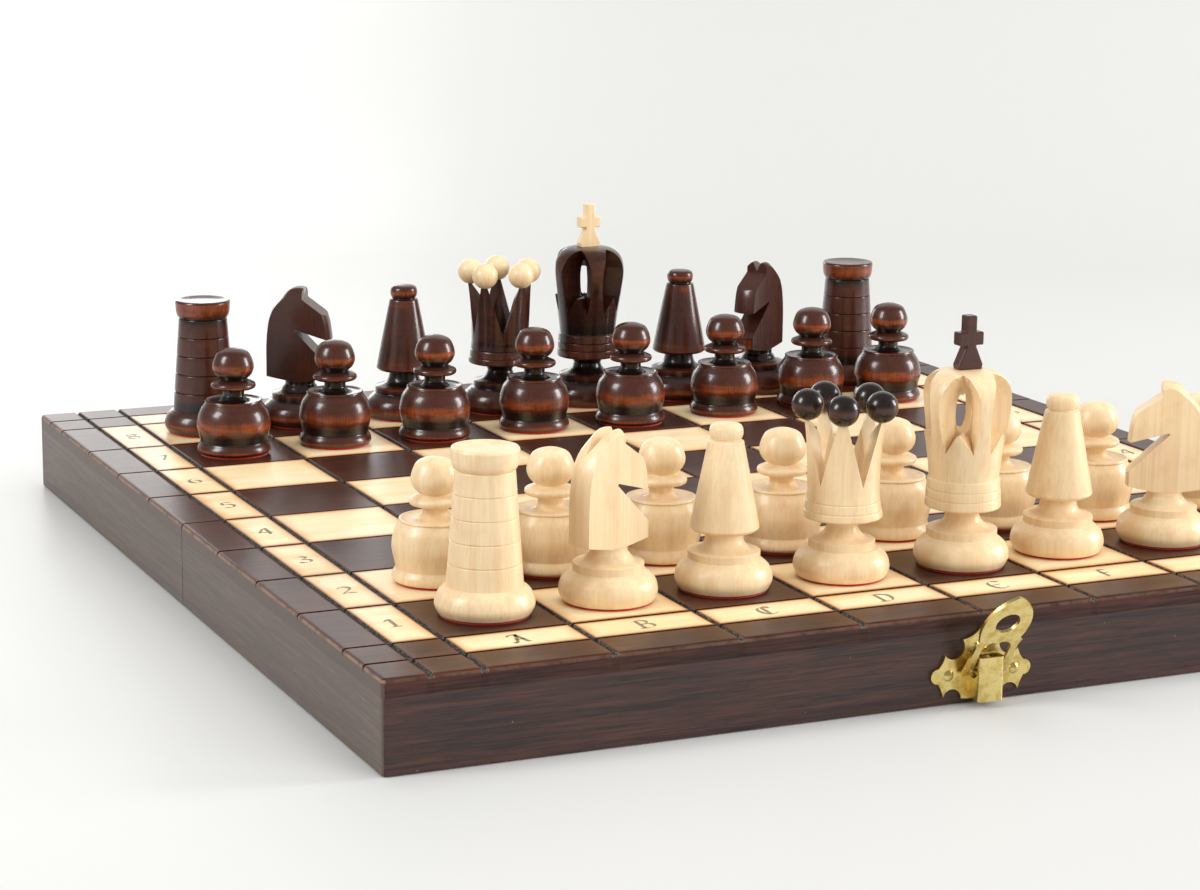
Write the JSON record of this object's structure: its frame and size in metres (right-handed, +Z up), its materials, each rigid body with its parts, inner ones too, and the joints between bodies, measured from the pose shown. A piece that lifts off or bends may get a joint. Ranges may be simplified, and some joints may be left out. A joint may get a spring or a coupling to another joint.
{
  "type": "folding chess set",
  "caption": "Two shallow wooden half boxes hinged into one grooved chessboard, with a brass ring clasp, and turned light and dark men on felt standing in the start position.",
  "frame": {"origin": "middle of the opened board, on the plane that the rims stand on", "axes": "+X along the files from a to h, +Y from white's side to black's side, +Z up"},
  "size_m": [0.3082, 0.3337, 0.0886],
  "materials": {
    "light_wood": "clear lacquer, satin",
    "dark_wood": "dark stain under gloss lacquer, rubbed orange where round",
    "board_frame": "dark stained, satin lacquer",
    "board_face": "light and dark stained squares, satin lacquer",
    "red_felt": "felt",
    "brass": "polished brass-plated sheet"
  },
  "bodies": {
    "front_half": {"front_panel": "board_face", "front_latch_rail": "board_frame", "front_left_rail": "board_frame", "front_right_rail": "board_frame", "front_hinge_rail": "board_frame", "hinge_leaves_front": "brass", "hinge_pins": "brass", "hinge_screws_front": "brass", "clasp_plate": "brass", "clasp_nails": "brass"},
    "rear_half": {"rear_panel": "board_face", "rear_latch_rail": "board_frame", "rear_left_rail": "board_frame", "rear_right_rail": "board_frame", "rear_hinge_rail": "board_frame", "hinge_leaves_rear": "brass", "hinge_screws_rear": "brass", "catch_plate": "brass", "catch_nails": "brass"},
    "clasp_lever_body": {"clasp_lever": "brass", "clasp_pivot": "brass"},
    "a1_white_rook": {"white_rook_a": "light_wood"},
    "b1_white_knight": {"white_knight_b": "light_wood"},
    "c1_white_bishop": {"white_bishop_c": "light_wood"},
    "d1_white_queen": {"white_queen": "light_wood", "white_queen_balls": "dark_wood"},
    "e1_white_king": {"white_king": "light_wood", "white_king_cross": "dark_wood"},
    "f1_white_bishop": {"white_bishop_f": "light_wood"},
    "g1_white_knight": {"white_knight_g": "light_wood"},
    "h1_white_rook": {"white_rook_h": "light_wood"},
    "a2_white_pawn": {"white_pawn_a": "light_wood"},
    "b2_white_pawn": {"white_pawn_b": "light_wood"},
    "c2_white_pawn": {"white_pawn_c": "light_wood"},
    "d2_white_pawn": {"white_pawn_d": "light_wood"},
    "e2_white_pawn": {"white_pawn_e": "light_wood"},
    "f2_white_pawn": {"white_pawn_f": "light_wood"},
    "g2_white_pawn": {"white_pawn_g": "light_wood"},
    "h2_white_pawn": {"white_pawn_h": "light_wood"},
    "a8_black_rook": {"black_rook_a": "dark_wood"},
    "b8_black_knight": {"black_knight_b": "dark_wood"},
    "c8_black_bishop": {"black_bishop_c": "dark_wood"},
    "d8_black_queen": {"black_queen": "dark_wood", "black_queen_balls": "light_wood"},
    "e8_black_king": {"black_king": "dark_wood", "black_king_cross": "light_wood"},
    "f8_black_bishop": {"black_bishop_f": "dark_wood"},
    "g8_black_knight": {"black_knight_g": "dark_wood"},
    "h8_black_rook": {"black_rook_h": "dark_wood"},
    "a7_black_pawn": {"black_pawn_a": "dark_wood"},
    "b7_black_pawn": {"black_pawn_b": "dark_wood"},
    "c7_black_pawn": {"black_pawn_c": "dark_wood"},
    "d7_black_pawn": {"black_pawn_d": "dark_wood"},
    "e7_black_pawn": {"black_pawn_e": "dark_wood"},
    "f7_black_pawn": {"black_pawn_f": "dark_wood"},
    "g7_black_pawn": {"black_pawn_g": "dark_wood"},
    "h7_black_pawn": {"black_pawn_h": "dark_wood"}
  },
  "joints": [
    {"name": "board_fold", "type": "hinge", "parent": "front_half", "child": "rear_half", "pos_m": [0, 0, -0.0001], "axis": [-1, 0, 0], "range_deg": [0, 180]},
    {"name": "clasp_swing", "type": "hinge", "parent": "front_half", "child": "clasp_lever_body", "pos_m": [0, -0.1588, 0.009], "axis": [1, 0, 0], "range_deg": [-28, 147]},
    {"name": "lift_a1", "type": "slide", "parent": "front_half", "child": "a1_white_rook", "axis": [0, 0, 1], "range_m": [0, 0.09]},
    {"name": "lift_b1", "type": "slide", "parent": "front_half", "child": "b1_white_knight", "axis": [0, 0, 1], "range_m": [0, 0.09]},
    {"name": "lift_c1", "type": "slide", "parent": "front_half", "child": "c1_white_bishop", "axis": [0, 0, 1], "range_m": [0, 0.09]},
    {"name": "lift_d1", "type": "slide", "parent": "front_half", "child": "d1_white_queen", "axis": [0, 0, 1], "range_m": [0, 0.09]},
    {"name": "lift_e1", "type": "slide", "parent": "front_half", "child": "e1_white_king", "axis": [0, 0, 1], "range_m": [0, 0.09]},
    {"name": "lift_f1", "type": "slide", "parent": "front_half", "child": "f1_white_bishop", "axis": [0, 0, 1], "range_m": [0, 0.09]},
    {"name": "lift_g1", "type": "slide", "parent": "front_half", "child": "g1_white_knight", "axis": [0, 0, 1], "range_m": [0, 0.09]},
    {"name": "lift_h1", "type": "slide", "parent": "front_half", "child": "h1_white_rook", "axis": [0, 0, 1], "range_m": [0, 0.09]},
    {"name": "lift_a2", "type": "slide", "parent": "front_half", "child": "a2_white_pawn", "axis": [0, 0, 1], "range_m": [0, 0.09]},
    {"name": "lift_b2", "type": "slide", "parent": "front_half", "child": "b2_white_pawn", "axis": [0, 0, 1], "range_m": [0, 0.09]},
    {"name": "lift_c2", "type": "slide", "parent": "front_half", "child": "c2_white_pawn", "axis": [0, 0, 1], "range_m": [0, 0.09]},
    {"name": "lift_d2", "type": "slide", "parent": "front_half", "child": "d2_white_pawn", "axis": [0, 0, 1], "range_m": [0, 0.09]},
    {"name": "lift_e2", "type": "slide", "parent": "front_half", "child": "e2_white_pawn", "axis": [0, 0, 1], "range_m": [0, 0.09]},
    {"name": "lift_f2", "type": "slide", "parent": "front_half", "child": "f2_white_pawn", "axis": [0, 0, 1], "range_m": [0, 0.09]},
    {"name": "lift_g2", "type": "slide", "parent": "front_half", "child": "g2_white_pawn", "axis": [0, 0, 1], "range_m": [0, 0.09]},
    {"name": "lift_h2", "type": "slide", "parent": "front_half", "child": "h2_white_pawn", "axis": [0, 0, 1], "range_m": [0, 0.09]},
    {"name": "lift_a8", "type": "slide", "parent": "rear_half", "child": "a8_black_rook", "axis": [0, 0, 1], "range_m": [0, 0.09]},
    {"name": "lift_b8", "type": "slide", "parent": "rear_half", "child": "b8_black_knight", "axis": [0, 0, 1], "range_m": [0, 0.09]},
    {"name": "lift_c8", "type": "slide", "parent": "rear_half", "child": "c8_black_bishop", "axis": [0, 0, 1], "range_m": [0, 0.09]},
    {"name": "lift_d8", "type": "slide", "parent": "rear_half", "child": "d8_black_queen", "axis": [0, 0, 1], "range_m": [0, 0.09]},
    {"name": "lift_e8", "type": "slide", "parent": "rear_half", "child": "e8_black_king", "axis": [0, 0, 1], "range_m": [0, 0.09]},
    {"name": "lift_f8", "type": "slide", "parent": "rear_half", "child": "f8_black_bishop", "axis": [0, 0, 1], "range_m": [0, 0.09]},
    {"name": "lift_g8", "type": "slide", "parent": "rear_half", "child": "g8_black_knight", "axis": [0, 0, 1], "range_m": [0, 0.09]},
    {"name": "lift_h8", "type": "slide", "parent": "rear_half", "child": "h8_black_rook", "axis": [0, 0, 1], "range_m": [0, 0.09]},
    {"name": "lift_a7", "type": "slide", "parent": "rear_half", "child": "a7_black_pawn", "axis": [0, 0, 1], "range_m": [0, 0.09]},
    {"name": "lift_b7", "type": "slide", "parent": "rear_half", "child": "b7_black_pawn", "axis": [0, 0, 1], "range_m": [0, 0.09]},
    {"name": "lift_c7", "type": "slide", "parent": "rear_half", "child": "c7_black_pawn", "axis": [0, 0, 1], "range_m": [0, 0.09]},
    {"name": "lift_d7", "type": "slide", "parent": "rear_half", "child": "d7_black_pawn", "axis": [0, 0, 1], "range_m": [0, 0.09]},
    {"name": "lift_e7", "type": "slide", "parent": "rear_half", "child": "e7_black_pawn", "axis": [0, 0, 1], "range_m": [0, 0.09]},
    {"name": "lift_f7", "type": "slide", "parent": "rear_half", "child": "f7_black_pawn", "axis": [0, 0, 1], "range_m": [0, 0.09]},
    {"name": "lift_g7", "type": "slide", "parent": "rear_half", "child": "g7_black_pawn", "axis": [0, 0, 1], "range_m": [0, 0.09]},
    {"name": "lift_h7", "type": "slide", "parent": "rear_half", "child": "h7_black_pawn", "axis": [0, 0, 1], "range_m": [0, 0.09]}
  ]
}
